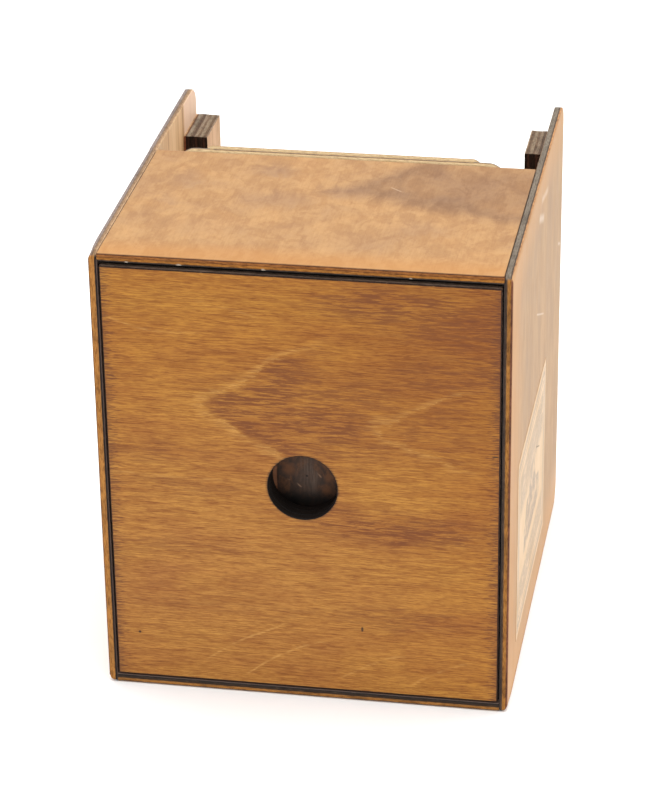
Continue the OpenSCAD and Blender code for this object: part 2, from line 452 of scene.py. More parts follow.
def front_veneer():
    """Amber-stained veneer with level grain, pale growth lines and scorched margins."""
    s = Shader("front_veneer")
    place = grained(s, s.x, s.z, s.y, 1)
    fibre, streak = fibres(s, place, 2.8, 0.13)
    dash = s.noise(place, (0.3, 3.8, 3.8), 2, 0.55, shift=(2, 6, 1))
    front_stain(s, place, fibre, streak, dash)
    front_figure(s, place, fibre)
    open_pores = pores(s, place)
    s.lay(s.mul(open_pores, 0.3), srgb(86, 46, 28))
    front_scorch(s, fibre, dash)
    height = s.sub(s.mul(fibre, 0.8), s.mul(open_pores, 0.5))
    rough = s.fade(fibre, 0.3, 0.7, 0.46, 0.58)
    return s.finish(rough, s.bump(height, 0.05, 0.4), 0.25)


# Grey blotches on the top: x, distance from the front, two radii, strength
TOP_BLOTCHES = [
    (-24, 84, 8, 5, 0.4),
    (-17, 57, 12, 6, 0.35),
    (-55, 72, 5, 8, 0.35),
    (-60, 52, 3, 5, 0.25),
    (4, 68, 7, 6, 0.3),
    (37, 36, 10, 6, 0.3),
    (-40, 30, 18, 6, 0.15),
    (20, 22, 14, 8, 0.15),
]
# Scratches on the top: start and end, as x and distance from the front
TOP_SCRATCHES = [((21, 75), (27, 70)), ((33, 89), (34, 88))]


def water_stain(s, back, cloud, mottle):
    """How deep inside the stain on the top a point lies, in millimetres."""
    push = s.add(s.swing(cloud, 20), s.swing(mottle, 9))
    behind_tide = s.sub(back, s.sub(65, s.mul(s.x, 0.3)))
    before_tide = s.mul(s.sub(s.add(71, s.mul(s.x, 1.2)), back), 0.64)
    return s.add(s.least(behind_tide, before_tide), push)


def top_stains(s, back, cloud, mottle):
    """The water stain with its darker tide line, the blotches and the warm front margin."""
    inside = water_stain(s, back, cloud, mottle)
    stain = s.mul(s.fade(inside, -4, 9), s.fade(back, 104, 88, 0.5, 1.0))
    tide = s.fade(s.size(s.sub(inside, 9)), 9, 0)
    s.tint(s.mul(stain, 0.8), (0.68, 0.65, 0.7))
    s.tint(s.mul(tide, 0.7), (0.76, 0.74, 0.8))
    for at_x, at_back, radius_x, radius_y, strength in TOP_BLOTCHES:
        patch = blob(s, s.x, back, (at_x, at_back), (radius_x, radius_y), 0.8, mottle, 18)
        s.lay(s.mul(patch, strength), srgb(124, 92, 72))
    warm = s.add(back, s.swing(cloud, 14))
    s.lay(s.fade(warm, 17, 4, 0, 0.55), srgb(177, 121, 58))


def top_veneer():
    """Orange-tan veneer with the grain running back, a grey water stain and a warm front margin."""
    s = Shader("top_veneer")
    low, high = box_mm("top_panel")
    place = grained(s, s.y, s.x, s.z, 2)
    fibre, _ = fibres(s, place, 1.8, 0.06)
    cloud = s.noise(place, 0.05, 4, 0.6, 0.4)
    mottle = s.noise(place, (0.09, 0.14, 0.14), 4, 0.6, 0.6)
    grit = s.noise(place, (0.35, 0.6, 0.6), 4, 0.7)
    s.colour = s.ramp(cloud, TOP_TONES)
    s.shade(mottle, 0.6, 0.42, (0.87, 0.83, 0.82))
    s.shade(grit, 0.6, 0.44, (0.93, 0.9, 0.88))
    s.shade(fibre, 0.3, 0.6, (0.93, 0.9, 0.88))
    back = s.sub(s.y, low.y)
    top_stains(s, back, cloud, mottle)
    for start, end in TOP_SCRATCHES:
        mark = scratch(s, s.x, back, start, end, 0.6, 0.3)
        s.lay(mark, srgb(214, 186, 152))
    open_pores = pores(s, place, 0.7)
    s.lay(s.mul(open_pores, 0.22), srgb(110, 78, 56))
    s.char(back, 0.7, 0.7)
    s.char(s.sub(high.x, s.size(s.x)), 0.5, 0.4)
    height = s.sub(s.mul(fibre, 0.8), s.mul(open_pores, 0.4))
    rough = s.fade(mottle, 0.3, 0.7, 0.52, 0.64)
    return s.finish(rough, s.bump(height, 0.05, 0.4), 0.35)


def scratch(s, u, v, start, end, width, strength):
    """A thin pale scratch from start to end in the plane of u and v, 1 where it is deepest."""
    du, dv = end[0] - start[0], end[1] - start[1]
    length = math.hypot(du, dv)
    along_u, along_v = du / length, dv / length
    from_u = s.sub(u, start[0])
    from_v = s.sub(v, start[1])
    along = s.add(s.mul(from_u, along_u), s.mul(from_v, along_v))
    off = s.sub(s.mul(from_v, along_u), s.mul(from_u, along_v))
    wobble = s.noise(s.vector(s.mul(along, 0.2), start[0], 0.0), detail=2)
    off = s.size(s.add(off, s.swing(wobble, 1.2)))
    ends = s.mul(s.fade(along, 0, 2), s.fade(along, length, length * 0.7))
    return s.mul(s.fade(off, width, 0), ends, strength)


def side_veneer(name, seed, scuffs=()):
    """Pale tan veneer with upright grain, a faint pink bloom and light scratches."""
    s = Shader(name)
    place = grained(s, s.z, s.y, s.x, seed)
    fibre, streak = fibres(s, place, 0.8, 0.05)
    cloud = s.noise(place, (0.02, 0.05, 0.05), 4, 0.65, 0.8)
    s.colour = s.ramp(cloud, SIDE_TONES)
    mottle = s.noise(place, (0.06, 0.16, 0.16), 4, 0.65, 0.5, shift=(6, 3, 8))
    s.shade(mottle, 0.4, 0.6, (0.92, 0.89, 0.86))
    s.shade(fibre, 0.36, 0.56, (0.93, 0.91, 0.88))
    s.shade(streak, 0.36, 0.54, (0.94, 0.92, 0.89))
    behind = s.sub(s.y, FRONT_Y)
    s.lay(s.fade(behind, 44, 2, 0, 0.7), srgb(192, 140, 86))
    # Lighter towards the foot: painted light that offsets the shade near the floor.
    s.lay(s.fade(s.z, 30, 3, 0, 0.7), srgb(202, 156, 110))
    s.lay(s.fade(s.z, HEIGHT - 24, HEIGHT - 2, 0, 0.75), srgb(190, 143, 93))
    s.lay(s.mul(pores(s, place), 0.16), srgb(122, 92, 70))
    for start, end, width, strength in scuffs:
        mark = scratch(s, behind, s.z, start, end, width, strength)
        s.lay(mark, srgb(222, 204, 184))
    inset = inset_from(s, s.y, s.z, (FRONT_Y, 0), (BACK_Y, HEIGHT))
    s.lay(s.fade(inset, 1.2, 0.2, 0, 0.4), srgb(150, 96, 66))
    rough = s.fade(cloud, 0.3, 0.7, 0.54, 0.64)
    return s.finish(rough, s.bump(fibre, 0.05, 0.4), 0.35)


def paint_inside(s, fibre):
    """Wood painted black inside the chamber, and in the gap round the front a paler soot colour that
    is partly painted light, offsetting the gap's shade.
    """
    edge = s.add(s.y, s.swing(fibre, 1.5))
    panel_back = FRONT_Y + PLY
    # Inside the front gap the soot colour is painted paler: painted light against the gap's shade.
    black_and_gap_light = s.mix(s.fade(s.y, panel_back - 0.2, panel_back + 0.4), GAP_SOOT_AND_PAINTED_LIGHT, SOOT)
    s.lay(s.fade(edge, GATE_Y + 1.2, GATE_Y + 0.2), black_and_gap_light)


def inner_side():
    """The inside of a side panel: bare wood in the open rear bay, painted black inside the chamber,
    and paler soot in the gap round the front that is partly painted light.
    """
    s = Shader("inner_side_veneer")
    place = grained(s, s.z, s.y, s.x, 5)
    fibre, streak = fibres(s, place, 0.9, 0.03)
    s.colour = s.ramp(streak, tones((0.34, 178, 138, 98), (0.5, 206, 170, 128), (0.7, 216, 184, 144)))
    s.shade(fibre, 0.3, 0.6, (0.84, 0.8, 0.74))
    rear = s.sub(BACK_Y, s.y)
    pink = s.mul(s.fade(rear, 25.5, 22), 0.75)
    s.lay(pink, srgb(228, 196, 172))
    s.lay(s.fade(s.size(s.sub(rear, 26)), 0.9, 0.2, 0, 0.6), srgb(130, 90, 56))
    paint_inside(s, fibre)
    return s.finish(0.66, s.bump(fibre, 0.06, 0.5), 0.3)


BIRCH_TONES = tones((0.32, 206, 172, 126), (0.5, 222, 192, 146), (0.7, 230, 204, 162))


def bare_veneer(name, seed, grain_axis, tint=(1.0, 1.0, 1.0), painted=False):
    """Unstained birch, a little grey with handling. painted blackens it inside the chamber and lays a
    paler soot, partly painted light, in the gap round the front.
    """
    s = Shader(name)
    axes = {"x": (s.x, s.z, s.y), "y": (s.y, s.x, s.z), "z": (s.z, s.x, s.y)}
    place = grained(s, *axes[grain_axis], seed)
    fibre, streak = fibres(s, place, 1.2, 0.04)
    s.colour = s.ramp(streak, BIRCH_TONES)
    s.tint(1.0, tint)
    s.shade(fibre, 0.3, 0.6, (0.84, 0.8, 0.74))
    s.lay(s.mul(pores(s, place), 0.3), srgb(140, 106, 74))
    handled = s.noise(place, (0.03, 0.05, 0.05), 3)
    s.shade(handled, 0.7, 0.5, (0.8, 0.76, 0.7))
    if painted:
        paint_inside(s, fibre)
    return s.finish(0.6, s.bump(fibre, 0.06, 0.5), 0.3)


def black_wood():
    """Plywood painted matt black, with the grain showing through."""
    s = Shader("black_wood")
    place = grained(s, s.x, s.z, s.y, 8)
    fibre, streak = fibres(s, place, 1.2, 0.05)
    s.colour = s.ramp(fibre, tones((0.3, 18, 16, 15), (0.7, 44, 39, 36)))
    rough = s.fade(streak, 0.4, 0.7, 0.6, 0.75)
    return s.finish(rough, s.bump(fibre, 0.08, 0.7), 0.25)


# A sheet's edge from its low face to its high face: where each layer starts, as a share of the
# thickness, and its colour
EDGE_LAYERS = {
    "left_front": ((0, 92, 60, 44), (0.12, 184, 126, 62), (0.74, 40, 32, 29)),
    "left_top": (
        (0, 140, 126, 120), (0.42, 126, 104, 86), (0.56, 150, 120, 90), (0.8, 180, 147, 112),
    ),
    "right_front": ((0, 50, 42, 38), (0.14, 88, 68, 54), (0.34, 172, 116, 52), (0.74, 122, 76, 56)),
    "right_top": ((0, 104, 92, 80), (0.14, 122, 111, 97), (0.62, 84, 68, 56), (0.78, 184, 136, 90)),
    "top": (
        (0, 62, 50, 42), (0.22, 172, 112, 44), (0.5, 128, 78, 38), (0.62, 160, 100, 46),
        (0.84, 96, 58, 38),
    ),
    "bottom": ((0, 104, 68, 46), (0.16, 178, 122, 60), (0.5, 64, 50, 40), (0.8, 50, 42, 38)),
    "burnt": ((0, 30, 22, 19), (0.33, 52, 37, 29), (0.67, 30, 22, 19)),
    "track": ((0, 134, 118, 102), (0.33, 158, 142, 120), (0.67, 112, 94, 78)),
    # gap: a thin dark line and a charcoal arris at the face, then deeper layers set far paler than
    # the charred wood: painted light that offsets the shade in the narrow gaps round the front panel
    "gap": ((0, 60, 38, 28), (0.05, 60, 49, 42), (0.14, 156, 130, 112)),
    "rail_front": ((0, 40, 26, 24), (0.4, 60, 38, 32), (0.7, 34, 24, 22)),
    "rail_front_outer": ((0, 142, 84, 58), (0.22, 52, 32, 28), (0.7, 34, 24, 22)),
    "rail_outer": (
        (0, 190, 154, 112), (0.16, 112, 74, 50), (0.34, 140, 126, 108), (0.8, 118, 100, 82),
    ),
    "rail_middle": ((0, 92, 72, 56), (0.35, 134, 116, 96), (0.75, 112, 90, 70)),
    "rail_inner": ((0, 138, 120, 98), (0.45, 104, 82, 62), (0.85, 150, 130, 106)),
    "pale": ((0, 180, 152, 112), (0.34, 194, 170, 130), (0.68, 176, 144, 102)),
}
LAYER_BLEND = 0.03


def mirrored(layers):
    """The same layers counted from the other face."""
    ends = [start for start, _ in layers[1:]] + [1]
    return [(1 - end, colour) for end, (_, colour) in reversed(list(zip(ends, layers)))]


EDGES = {look: tones(*layers) for look, layers in EDGE_LAYERS.items()}
for look in [look for look in EDGES if look.startswith("rail")]:
    EDGES[look + "_mirrored"] = mirrored(EDGES[look])


def layer_stops(layers):
    """Ramp stops that hold each colour across its own layer and blend quickly between layers."""
    stops = []
    for index, (start, colour) in enumerate(layers):
        last = index + 1 == len(layers)
        end = 1 if last else layers[index + 1][0]
        stops.append((start + (LAYER_BLEND if index else 0), colour))
        stops.append((end - (0 if last else LAYER_BLEND), colour))
    return stops


def facing_up(s):
    """How far the surface faces up, from -1 to 1."""
    geometry = s.new("NewGeometry")
    split = s.new("SeparateXYZ")
    s.tree.links.new(geometry.outputs["Normal"], split.inputs[0])
    return split.outputs[2]


def along_axis(axis, value, others):
    """Three scales: the value on one axis and the others' value on the other two."""
    return [value if index == axis else others for index in range(3)]


def ply_edge(name, axis, base, look, top_look=None, scorch=0.3, seed=1, thickness=PLY, flecks=(),
             bored=False):
    """The cut edge of three-ply sheets: layers, fibres, laser striations and scorch marks."""
    s = Shader(name)
    ripple = s.noise(s.mm, 0.35, 3, 0.6, shift=(seed, seed * 3, 0))
    depth = s.math("DIVIDE", s.sub((s.x, s.y, s.z)[axis], base), thickness)
    depth = s.math("FRACT", s.most(depth, 0.0))
    warped = s.add(depth, s.swing(ripple, 0.1))
    s.colour = s.ramp(warped, layer_stops(EDGES[look]))
    if top_look:
        top_colour = s.ramp(warped, layer_stops(EDGES[top_look]))
        s.lay(s.fade(facing_up(s), 0.4, 0.8), top_colour)
    strands = s.noise(s.mm, along_axis(axis, 2.6, 0.45), 5, 0.68)
    s.shade(strands, 0.34, 0.58, (0.5, 0.44, 0.4))
    s.lay(s.fade(strands, 0.6, 0.78, 0, 0.35), srgb(206, 168, 118))
    char = s.noise(s.mm, 0.11, 4, 0.6, shift=(seed * 5, 0, seed))
    s.lay(s.mul(s.fade(char, 0.42, 0.68), scorch), SOOT)
    if bored:
        bore = s.fade(from_bore(s), HOLE_R + 3, HOLE_R + 2, 0, 0.97)
        s.lay(bore, srgb(17, 12, 10))
    for at_x, at_depth, half_x in flecks:
        fleck = blob(s, s.x, s.mul(depth, PLY), (at_x, at_depth), (half_x, 0.4), 0.5, strands, 1.5)
        s.lay(s.mul(fleck, 0.75), srgb(190, 176, 158))
    striations = s.noise(s.mm, along_axis(axis, 0.25, 2.2), 2)
    height = s.add(strands, s.mul(striations, 0.8))
    return s.finish(0.62, s.bump(height, 0.14, 0.8), 0.15)


# -------- other materials

PLATE_TONES = tones((0.36, 40, 30, 25), (0.5, 62, 44, 34), (0.62, 92, 61, 41), (0.74, 60, 44, 35))
# Bright scratches on the plate: start and end, from the pinhole
PLATE_SCRATCHES = [
    ((3.6, 1.9), (5.6, -0.7)),
    ((-4.2, -2.8), (-1.8, -5.0)),
    ((-7.5, -1.9), (-6.1, -2.3)),
]
# Brown patches on the plate: place from the pinhole, and radius
PLATE_STAINS = [(-6.9, 2.6, 2.2), (8, -0.2, 1.8), (7.3, -5.3, 2.0)]


def blackened_brass():
    """Thin brass blackened by hand, worn back to brown metal in patches, with the pinhole painted in
    as a dark dot, a painted sheen over it and painted shadow below.
    """
    s = Shader("blackened_brass")
    patch = s.noise(s.mm, (0.24, 0.24, 0.14), 4, 0.6, 0.6, shift=(4, 0, 9))
    fine = s.noise(s.mm, (0.9, 0.9, 0.7), 4, 0.65)
    brushed = s.noise(s.mm, (1.4, 1.4, 0.12), 3, 0.6)
    s.colour = s.ramp(patch, PLATE_TONES)
    s.lay(s.fade(fine, 0.5, 0.75, 0, 0.5), srgb(22, 19, 18))
    # A tall grey painted sheen over the pinhole, brushed upright.
    painted_sheen = blob(s, s.x, s.z, (0.5, MID_Z + 0.5), (3.6, 7), 0.8, patch, 4)
    painted_sheen = s.mul(painted_sheen, s.fade(brushed, 0.4, 0.7, 0.3, 1))
    s.lay(s.mul(painted_sheen, 0.55), srgb(108, 90, 78))
    for at_x, above, radius in PLATE_STAINS:
        stain = blob(s, s.x, s.z, (at_x, MID_Z + above), (radius, radius), 0.7, patch, 5)
        s.lay(s.mul(stain, 0.55), srgb(108, 68, 40))
    for start, end in PLATE_SCRATCHES:
        mark = scratch(s, s.x, s.sub(s.z, MID_Z), start, end, 0.45, 0.6)
        s.lay(mark, srgb(150, 116, 92))
    # Painted shadow: the plate darkened almost to black below the pinhole, where the hole's rim
    # shades it.
    s.lay(s.fade(s.z, MID_Z - 5, MID_Z - 10, 0, 0.85), srgb(16, 14, 13))
    # Painted shade: the pinhole drawn as a dark dot, for the dark chamber behind it.
    s.lay(s.fade(from_bore(s), 0.6, 0.25, 0, 0.8), srgb(10, 8, 8))
    rough = s.fade(patch, 0.3, 0.7, 0.46, 0.64)
    return s.finish(rough, s.bump(fine, 0.06, 0.6), Metallic=0.7)


# Border lines of the label: distance from its rim and half thickness
LABEL_BORDERS = [(2.8, 0.5), (4.4, 0.8), (7.0, 0.5)]
LABEL_TEAR = ((61, 52.3), (76, 45.3))


def label_border(s, inset):
    border = 0.0
    for place, thick in LABEL_BORDERS:
        border = s.most(border, s.fade(s.size(s.sub(inset, place)), thick, thick * 0.4))
    return border


def label_picture(s, u, v):
    """A hatched landscape: a cloudy sky, hills with lit and shaded slopes, and a meadow."""
    flat = s.vector(u, v, 0.0)
    sway = s.noise(flat, (0.07, 0.05, 1), 3, 0.55, shift=(0, 0, 3))
    ridge = s.mul(s.math("SINE", s.mul(s.sub(u, 18), math.pi / 58)), 17)
    ridge = s.add(s.add(ridge, 32), s.swing(sway, 26))
    hill = s.mul(s.fade(s.sub(ridge, v), -0.4, 0.8), s.fade(v, 25.5, 27))
    hill = s.mul(hill, s.fade(u, 20, 24), s.fade(u, 76, 70))
    cloud = s.fade(s.noise(flat, (0.06, 0.2, 1), 4, 0.6, shift=(0, 0, 8)), 0.32, 0.5)
    sky = s.mul(cloud, s.fade(v, 46, 52), s.fade(v, 66.5, 64.5))
    meadow = s.fade(s.noise(flat, (0.12, 0.5, 1), 4, 0.6, shift=(0, 0, 1)), 0.3, 0.5)
    meadow = s.mul(meadow, s.fade(v, 22.5, 20), s.fade(v, 9, 10.5))
    hatch = s.fade(s.math("SINE", s.add(s.mul(v, 6.2), s.mul(sway, 9.0))), -0.5, 0.5)
    cross = s.fade(s.math("SINE", s.add(s.mul(u, 7.0), s.mul(v, 4.5))), -0.2, 0.6)
    shadow = s.fade(s.noise(flat, (0.11, 0.16, 1), 3, 0.6, shift=(0, 0, 5)), 0.34, 0.56, 0.2, 1.0)
    hill = s.mul(hill, shadow, s.most(hatch, s.mul(cross, 0.8)))
    return s.most(hill, s.mul(sky, hatch, 0.9), s.mul(meadow, hatch, 0.85))


def label_paper():
    """Cream paper with three border lines round a hatched landscape."""
    s = Shader("label_paper")
    low, high = box_mm("side_label")
    u = s.sub(s.y, low.y)
    v = s.sub(s.z, low.z)
    tooth = s.noise(s.mm, 0.7, 5, 0.7)
    age = s.noise(s.mm, 0.05, 4, 0.6)
    s.colour = s.ramp(age, tones((0.3, 205, 175, 139), (0.5, 213, 185, 151), (0.7, 218, 192, 161)))
    s.lay(s.fade(tooth, 0.55, 0.8, 0, 0.25), srgb(206, 174, 134))
    inset = inset_from(s, u, v, (0, 0), (high.y - low.y, high.z - low.z))
    drawn = s.mul(label_picture(s, u, v), s.fade(inset, 8.2, 9.0))
    ink = s.most(s.mul(label_border(s, inset), 0.75), drawn)
    ink = s.mul(ink, s.fade(tooth, 0.3, 0.5, 0.4, 1.0))
    s.lay(s.mul(ink, 0.85), srgb(128, 120, 120))
    rim = s.fade(s.add(inset, s.swing(tooth, 1.6)), 0.9, 0.0, 0, 0.6)
    s.lay(rim, srgb(176, 132, 88))
    s.lay(scratch(s, u, v, *LABEL_TEAR, 0.5, 0.7), srgb(96, 84, 72))
    height = s.sub(tooth, s.mul(ink, 0.3))
    return s.finish(0.72, s.bump(height, 0.04, 0.5), 0.25)


def felt():
    s = Shader("felt")
    fuzz = s.noise(s.mm, 2.2, 5, 0.75, 1.2)
    s.colour = s.ramp(fuzz, tones((0.3, 14, 13, 13), (0.7, 48, 45, 44)))
    return s.finish(0.95, s.bump(fuzz, 0.25, 1.0), 0.1, Sheen_Weight=0.4)


def slide_board():
    """Black phenolic sheet, brown at its cut edges, with fine rub lines along its travel."""
    s = Shader("slide_board")
    _, high = box_mm("dark_slide")
    rub = s.noise(s.mm, (1.6, 1.0, 0.03), 5, 0.7)
    s.colour = s.ramp(rub, tones((0.35, 22, 20, 20), (0.65, 42, 38, 37)))
    s.lay(s.fade(s.sub(high.z, s.z), 0.6, 0.1, 0, 0.8), srgb(112, 84, 58))
    return s.finish(s.fade(rub, 0.3, 0.7, 0.32, 0.5), s.bump(rub, 0.02, 0.4))


def film_emulsion():
    s = Shader("film_emulsion")
    haze = s.noise(s.mm, 0.03, 3)
    s.colour = s.ramp(haze, tones((0.3, 112, 118, 132), (0.7, 132, 136, 146)))
    grit = s.noise(s.mm, 6, 2)
    return s.finish(s.fade(haze, 0.3, 0.7, 0.28, 0.4), s.bump(grit, 0.01, 0.3))


def zinc():
    s = Shader("zinc_plate")
    bloom = s.noise(s.mm, 0.5, 4, 0.6)
    s.colour = s.ramp(bloom, tones((0.3, 150, 148, 142), (0.7, 196, 194, 188)))
    return s.finish(s.fade(bloom, 0.3, 0.7, 0.28, 0.48), s.bump(bloom, 0.02, 0.4), Metallic=1.0)


# -------- sheet pieces

ARRIS_STEPS = 4
# How many rows of the arris have the material of the low face and of the high face: half of each
# arris, the high face's only, or none
WRAP_BOTH = (ARRIS_STEPS // 2, ARRIS_STEPS // 2)
WRAP_HIGH = (0, ARRIS_STEPS // 2)
WRAP_NONE = (0, 0)
EDGE_GRID_MM = 1.6
# Radius of a corner that is only cut square
CUT_R = 0.4
ROUGHNESS_PER_MM = 0.45
# The glue lines' depths, their half width and the largest arris, as shares of a sheet's thickness
GLUE_SHARES = (0.32, 0.68)
SEAM_SHARE = 0.04
ARRIS_SHARE = 0.3
WELD_MM = 0.002
# Which CAD axes a sheet's own u, v and depth run along, by the axis that it faces
AXES = {0: (1, 2, 0), 1: (0, 2, 1), 2: (0, 1, 2)}


def rectangle(low, high, radii):
    """Points round a rectangle with rounded corners, anticlockwise from the low corner, each with its
    inward normal."""
    signs = ((1, 1), (-1, 1), (-1, -1), (1, -1))
    points = ((low[0], low[1]), (high[0], low[1]), (high[0], high[1]), (low[0], high[1]))
    arcs = []
    for (u, v), (sign_u, sign_v), radius, start in zip(points, signs, radii, (180, 270, 0, 90)):
        steps = max(4, round(radius * 2.2))
        arc = []
        for index in range(steps + 1):
            angle = math.radians(start + 90 * index / steps)
            out = (math.cos(angle), math.sin(angle))
            point = (u + radius * (sign_u + out[0]), v + radius * (sign_v + out[1]))
            arc.append((point, (-out[0], -out[1])))
        arcs.append(arc)
    loop = []
    for index, arc in enumerate(arcs):
        loop += arc
        (u0, v0), normal = arc[-1]
        (u1, v1), _ = arcs[(index + 1) % 4][0]
        steps = max(1, round(math.hypot(u1 - u0, v1 - v0) / EDGE_GRID_MM))
        for step in range(1, steps):
            share = step / steps
            loop.append(((u0 + (u1 - u0) * share, v0 + (v1 - v0) * share), normal))
    return loop


def ring(centre, radius, count=96):
    """Points round a circular hole, clockwise, with normals into the sheet."""
    loop = []
    for index in range(count):
        angle = -2 * math.pi * index / count
        out = (math.cos(angle), math.sin(angle))
        loop.append(((centre[0] + out[0] * radius, centre[1] + out[1] * radius), out))
    return loop


def hole_of(loop):
    """The same outline as a hole: clockwise, with normals into the sheet."""
    return [(point, (-normal[0], -normal[1])) for point, normal in reversed(loop)]


def edge_profile(thickness, arris, relief):
    """(inset, depth) of each row of points from the low face round the edge to the high face."""
    curve = []
    for index in range(ARRIS_STEPS + 1):
        angle = math.pi / 2 * index / ARRIS_STEPS
        curve.append((arris * (1 - math.sin(angle)), arris * (1 - math.cos(angle))))
    rows = list(curve)
    seam = SEAM_SHARE * thickness
    for share in GLUE_SHARES:
        glue_line = share * thickness
        rows += [(0, glue_line - seam), (relief, glue_line), (0, glue_line + seam)]
    rows += [(inset, thickness - depth) for inset, depth in reversed(curve)]
    return rows


def edge_rows(mesh, loop, axes, base, thickness, arris_at, wobble, relief):
    """Rows of points round one outline of a sheet, from its low face to its high face."""
    u_axis, v_axis, w_axis = axes
    rows = [[] for _ in edge_profile(thickness, 0, 0)]
    for (u, v), normal in loop:
        profile = edge_profile(thickness, min(arris_at(normal), thickness * ARRIS_SHARE), relief)
        for row, (inset, depth) in zip(rows, profile):
            point = [0.0, 0.0, 0.0]
            point[u_axis], point[v_axis], point[w_axis] = u, v, base + depth
            rough = noise.noise(Vector(point) * ROUGHNESS_PER_MM) * 0.5 + 0.5
            reach = inset + rough * wobble
            point[u_axis] += normal[0] * reach
            point[v_axis] += normal[1] * reach
            row.append(mesh.verts.new(sanded(Vector(point)) * MM))
    return rows


def skin(mesh, rows, wrap):
    """Faces between the rows: material 0 beside the low face, 2 beside the high face, 1 between."""
    last = len(rows) - 1
    for index in range(last):
        slot = 0 if index < wrap[0] else 2 if index >= last - wrap[1] else 1
        row, next_row = rows[index], rows[index + 1]
        for step in range(len(row)):
            following = (step + 1) % len(row)
            face = mesh.faces.new((row[step], row[following], next_row[following], next_row[step]))
            face.material_index = slot
            face.smooth = True


def sheet_piece(node, axis, materials, radii=(CUT_R,) * 4, holes=(), arris=0.4, wobble=0.07,
                relief=0.05, wrap=WRAP_BOTH):
    """A sheet for a CAD node: rounded arrises, slightly uneven edges and the relief of its plies.

    materials are for the low face, the edge and the high face. radii are for its four corners,
    anticlockwise from the low one. arris is a number or gives the arris for an inward normal.
    wobble is how far the edge wanders inwards, as a real cut does. wrap is how many rows of each
    arris have the face's material."""
    low, high = box_mm(node)
    axes = AXES[axis]
    u_axis, v_axis, w_axis = axes
    base = low[w_axis]
    thickness = high[w_axis] - base
    arris_at = arris if callable(arris) else lambda normal: arris
    mesh = bmesh.new()
    low_rims, high_rims = [], []
    for loop in (rectangle((low[u_axis], low[v_axis]), (high[u_axis], high[v_axis]), radii), *holes):
        rows = edge_rows(mesh, loop, axes, base, thickness, arris_at, wobble, relief)
        skin(mesh, rows, wrap)
        low_rims.append(rows[0])
        high_rims.append(rows[-1])
    for rims, slot in ((low_rims, 0), (high_rims, 2)):
        flat = [vert for rim in rims for vert in rim]
        for triple in tessellate_polygon([[vert.co for vert in rim] for rim in rims]):
            mesh.faces.new([flat[index] for index in triple]).material_index = slot
    bmesh.ops.remove_doubles(mesh, verts=mesh.verts, dist=WELD_MM * MM)
    bmesh.ops.recalc_face_normals(mesh, faces=mesh.faces)
    return placed(finished(node + "_sheet", mesh, materials), node)


def finished(name, mesh, materials):
    """Turns a bmesh into an object with its materials."""
    data = bpy.data.meshes.new(name)
    mesh.to_mesh(data)
    mesh.free()
    for material in materials:
        data.materials.append(material)
    piece = bpy.data.objects.new(name, data)
    bpy.context.collection.objects.link(piece)
    return piece


def placed(piece, node):
    """Puts a piece in a CAD node's place and on its body."""
    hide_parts(node)
    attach(piece, BODIES[node])
    return piece


SAND_FRONT_MM = 3.2
SAND_BACK_MM = 0.9
SAND_FADE_MM = 16


def sanded(point):
    """Rounds the box's long outer corners, most of all at the front, as sandpaper does."""
    x, y, z = point
    behind = min(max((y - FRONT_Y) / SAND_FADE_MM, 0), 1)
    radius = SAND_FRONT_MM + (SAND_BACK_MM - SAND_FRONT_MM) * behind * (2 - behind)
    in_x = radius - (BOX_HIGH.x - abs(x))
    in_z = radius - min(z, HEIGHT - z)
    if y > GATE_Y + PLY or in_x <= 0 or in_z <= 0 or math.hypot(in_x, in_z) <= radius:
        return point
    shrink = radius / math.hypot(in_x, in_z)
    new_x = BOX_HIGH.x - radius + in_x * shrink
    new_z = radius - in_z * shrink
    return Vector((math.copysign(new_x, x), y, new_z if z < HEIGHT / 2 else HEIGHT - new_z))


# -------- the camera's pieces

INNER_X = box_mm("right_side")[0].x
FRONT_CORNER_R = 3
FRONT_FOOT_R = 1
REAR_CORNER_R = 8
HOLDER_CORNER_R = 7
HOLDER_BACK_CORNER_R = 3.2
SLIDE_CORNER_R = 1.5
LABEL_CORNER_R = 0.8
FILM_BORDER = 3.0
TRIPOD_HOLE_R = 4.0
SOCKET_SIDES = 48
# Scuffs on the right side: start and end, as distance from the front and height, width, strength
RIGHT_SCUFFS = [
    ((80, 126.5), (110, 113.5), 0.6, 0.5),
    ((84, 164), (104, 156.5), 2.6, 0.5),
    ((92, 168), (118, 163), 2.2, 0.35),
    ((158, 122), (168, 118), 1.0, 0.5),
]
# Pale flecks in the top panel's front edge: x, depth below the top, half width
TOP_FLECKS = [(-62, 0.35, 0.6), (-43, 0.3, 0.9), (-12.5, 0.25, 0.7), (40, 0.3, 0.5)]

BLACK = black_wood()
BLACK_STACK = ply_edge("black_edge", 1, FRONT_Y, "gap", scorch=0.4, seed=9, bored=True)
BARE_UPRIGHT = bare_veneer("bare_upright", 6, "z")
BARE_LEVEL = bare_veneer("bare_level", 7, "x")


def corners(low_low=CUT_R, high_low=CUT_R, high_high=CUT_R, low_high=CUT_R):
    return low_low, high_low, high_high, low_high


def hole_ring():
    return ring((0, MID_Z), HOLE_R)


def window_hole():
    """The exposure window, which hides a border of the film all round."""
    low, high = box_mm("film_sheet")
    inside_low = (low.x + FILM_BORDER, low.z + FILM_BORDER)
    inside_high = (high.x - FILM_BORDER, high.z - FILM_BORDER)
    return hole_of(rectangle(inside_low, inside_high, (0.5,) * 4))


def front_edge_only(front, rest):
    """An arris that is worn at the front edge of a level panel and crisp elsewhere."""
    return lambda normal: rest + (front - rest) * max(normal[1], 0)


def burnt_rim(normal):
    """The front panel's arris, most burnt away along the top edge and at the foot of the hole."""
    return 0.3 + 0.2 * max(-normal[1], 0)


